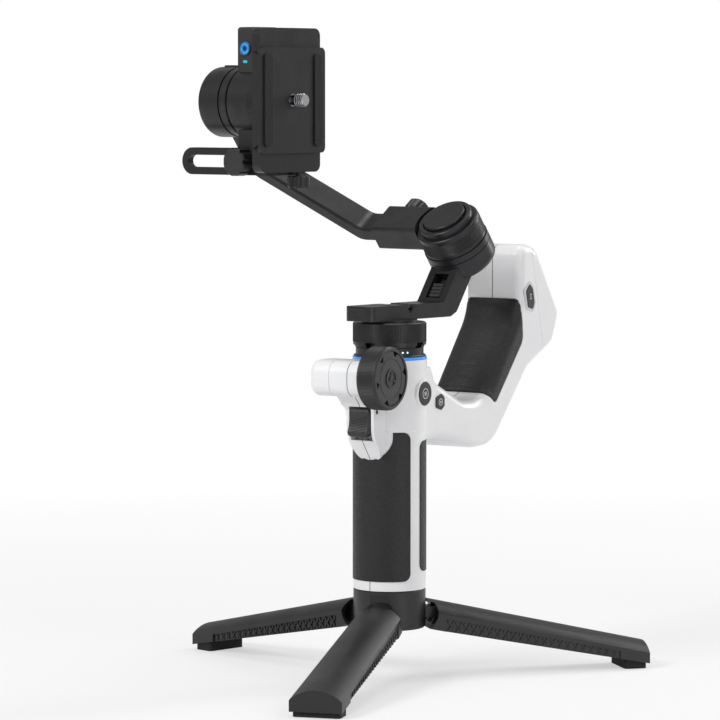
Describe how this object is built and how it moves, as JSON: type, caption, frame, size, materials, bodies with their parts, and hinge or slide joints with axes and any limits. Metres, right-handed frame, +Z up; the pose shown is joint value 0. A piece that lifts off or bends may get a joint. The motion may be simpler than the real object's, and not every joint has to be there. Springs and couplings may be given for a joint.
{
  "type": "gimbal stabilizer",
  "caption": "Hand-held camera gimbal with pan, roll and tilt motor joints, a looped rear handle, a side control wheel, a sliding camera plate and a folding tripod foot.",
  "frame": {"origin": "on the handle's axis, in the plane that the tripod feet stand on", "axes": "+Z up along the handle, -Y towards the front where the camera looks, +X towards the side with the control wheel"},
  "size_m": [0.2391, 0.2792, 0.3337],
  "materials": {
    "white_shell": "satin",
    "rubber": "fine leather grain",
    "black_plastic": "matte",
    "button_grey": "satin",
    "dark_metal": "satin anodised",
    "steel": "bright",
    "blue_light": "clear light pipe",
    "screen_glass": "polished",
    "cell_wrap": "shrink film",
    "board_green": "solder mask"
  },
  "bodies": {
    "handle": {"shell_left": "white_shell", "shell_right": "white_shell", "barrel_cap": "white_shell", "front_pad": "rubber", "rear_pad": "rubber", "inner_frame": "black_plastic", "thread_insert": "steel", "battery": "cell_wrap", "main_board": "board_green", "shell_screws": "steel", "light_ring": "blue_light", "pan_collar": "dark_metal", "mode_bezel": "white_shell", "tail_bezel": "black_plastic", "tail_cover": "white_shell", "tail_grip": "rubber", "control_panel": "black_plastic", "screen_glass": "screen_glass", "accessory_insert": "steel"},
    "tripod_hub": {"hub": "black_plastic", "leg_pins": "steel"},
    "front_leg": {"leg_front": "black_plastic", "foot_front": "rubber"},
    "rear_leg": {"leg_rear": "black_plastic", "foot_rear": "rubber"},
    "side_leg": {"leg_side": "black_plastic", "foot_side": "rubber"},
    "wheel": {"wheel_rim": "black_plastic", "wheel_face": "black_plastic"},
    "trigger": {"trigger": "black_plastic"},
    "mode_button": {"mode_button": "button_grey"},
    "function_button": {"function_button": "black_plastic"},
    "tail_button": {"tail_button": "black_plastic"},
    "joystick_ring": {"joystick_ring": "black_plastic"},
    "joystick": {"joystick": "black_plastic"},
    "pan_lock": {"pan_lock": "black_plastic"},
    "pan_head": {"pan_rotor": "dark_metal", "pan_arm": "dark_metal", "arm_screws": "steel", "roll_rear_cap": "dark_metal"},
    "roll_lock": {"roll_lock": "black_plastic"},
    "roll_head": {"roll_drum": "dark_metal", "roll_cap": "dark_metal", "roll_sleeve": "dark_metal"},
    "sleeve_knob": {"sleeve_knob": "black_plastic"},
    "roll_arm": {"roll_arm": "dark_metal", "tilt_stator": "dark_metal", "tilt_cap": "dark_metal"},
    "tilt_lock": {"tilt_lock": "black_plastic"},
    "tilt_head": {"tilt_rotor": "dark_metal", "tracking_module": "black_plastic", "tracking_optics": "blue_light", "clamp_lug": "dark_metal"},
    "bracket_knob": {"bracket_knob": "black_plastic"},
    "bracket": {"bracket": "dark_metal", "quick_base": "dark_metal"},
    "base_knob": {"base_knob": "black_plastic"},
    "quick_plate": {"quick_plate": "dark_metal", "plate_pads": "rubber"},
    "camera_screw": {"camera_screw": "steel"}
  },
  "joints": [
    {"name": "tripod_screw", "type": "hinge", "parent": "handle", "child": "tripod_hub", "pos_m": [0, 0, 0.05], "axis": [0, 0, 1], "continuous": true},
    {"name": "front_leg_fold", "type": "hinge", "parent": "tripod_hub", "child": "front_leg", "pos_m": [0.00391, -0.0124, 0.0335], "axis": [0.9537, 0.3007, 0], "range_deg": [0, 72]},
    {"name": "rear_leg_fold", "type": "hinge", "parent": "tripod_hub", "child": "rear_leg", "pos_m": [0.00878, 0.00958, 0.0335], "axis": [-0.7373, 0.6756, 0], "range_deg": [0, 72]},
    {"name": "side_leg_fold", "type": "hinge", "parent": "tripod_hub", "child": "side_leg", "pos_m": [-0.01269, 0.00281, 0.0335], "axis": [-0.2164, -0.9763, 0], "range_deg": [0, 72]},
    {"name": "wheel_spin", "type": "hinge", "parent": "handle", "child": "wheel", "pos_m": [0.014, -0.0295, 0.156], "axis": [1, 0, 0], "continuous": true},
    {"name": "trigger_pull", "type": "hinge", "parent": "handle", "child": "trigger", "pos_m": [0, -0.0246, 0.1382], "axis": [1, 0, 0], "range_deg": [0, 10], "stiffness_Nm_per_rad": 0.05},
    {"name": "mode_press", "type": "slide", "parent": "handle", "child": "mode_button", "axis": [-1, 0, 0], "range_m": [0, 0.0011], "stiffness_N_per_m": 300},
    {"name": "function_press", "type": "slide", "parent": "handle", "child": "function_button", "axis": [-1, 0, 0], "range_m": [0, 0.0006], "stiffness_N_per_m": 300},
    {"name": "tail_press", "type": "slide", "parent": "handle", "child": "tail_button", "axis": [-1, 0, 0], "range_m": [0, 0.0007], "stiffness_N_per_m": 300},
    {"name": "joystick_pitch", "type": "hinge", "parent": "handle", "child": "joystick_ring", "pos_m": [0, 0.12377, 0.20559], "axis": [1, 0, 0], "range_deg": [-12, 12], "stiffness_Nm_per_rad": 0.01},
    {"name": "joystick_yaw", "type": "hinge", "parent": "joystick_ring", "child": "joystick", "pos_m": [0, 0.12377, 0.20559], "axis": [0, 0.575, -0.8182], "range_deg": [-12, 12], "stiffness_Nm_per_rad": 0.01},
    {"name": "pan_lock_slide", "type": "slide", "parent": "handle", "child": "pan_lock", "axis": [0, 0, 1], "range_m": [0, 0.0024]},
    {"name": "pan", "type": "hinge", "parent": "handle", "child": "pan_head", "pos_m": [0, 0, 0.176], "axis": [0, 0, 1], "continuous": true},
    {"name": "roll_lock_slide", "type": "slide", "parent": "pan_head", "child": "roll_lock", "axis": [0.073, 0.5544, 0.829], "range_m": [0, 0.0035]},
    {"name": "roll", "type": "hinge", "parent": "pan_head", "child": "roll_head", "pos_m": [0.00652, 0.0495, 0.22702], "axis": [-0.0776, -0.5897, 0.8039], "range_deg": [-180, 60]},
    {"name": "sleeve_knob_turn", "type": "hinge", "parent": "roll_head", "child": "sleeve_knob", "pos_m": [-0.02388, 0.06378, 0.2368], "axis": [0.1049, 0.797, 0.5948], "continuous": true},
    {"name": "roll_arm_slide", "type": "slide", "parent": "roll_head", "child": "roll_arm", "axis": [-0.9914, 0.1305, 0], "range_m": [-0.0025, 0.01]},
    {"name": "tilt", "type": "hinge", "parent": "roll_arm", "child": "tilt_head", "pos_m": [-0.08923, 0.01175, 0.2945], "axis": [0.9914, -0.1305, 0], "range_deg": [-190, 38]},
    {"name": "tilt_lock_slide", "type": "slide", "parent": "roll_arm", "child": "tilt_lock", "axis": [0.9914, -0.1305, 0], "range_m": [0, 0.005]},
    {"name": "bracket_knob_turn", "type": "hinge", "parent": "tilt_head", "child": "bracket_knob", "pos_m": [-0.08738, -0.00484, 0.2635], "axis": [-0.1305, -0.9914, 0], "continuous": true},
    {"name": "bracket_slide", "type": "slide", "parent": "tilt_head", "child": "bracket", "axis": [0.9914, -0.1305, 0], "range_m": [0, 0.01]},
    {"name": "base_knob_turn", "type": "hinge", "parent": "bracket", "child": "base_knob", "pos_m": [-0.06604, 0.01475, 0.2564], "axis": [0, 0, 1], "continuous": true},
    {"name": "plate_slide", "type": "slide", "parent": "bracket", "child": "quick_plate", "axis": [0.1305, 0.9914, 0], "range_m": [-0.015, 0.015]},
    {"name": "camera_screw_turn", "type": "hinge", "parent": "quick_plate", "child": "camera_screw", "pos_m": [-0.06226, 0.0082, 0.2955], "axis": [0.9914, -0.1305, 0], "continuous": true}
  ]
}
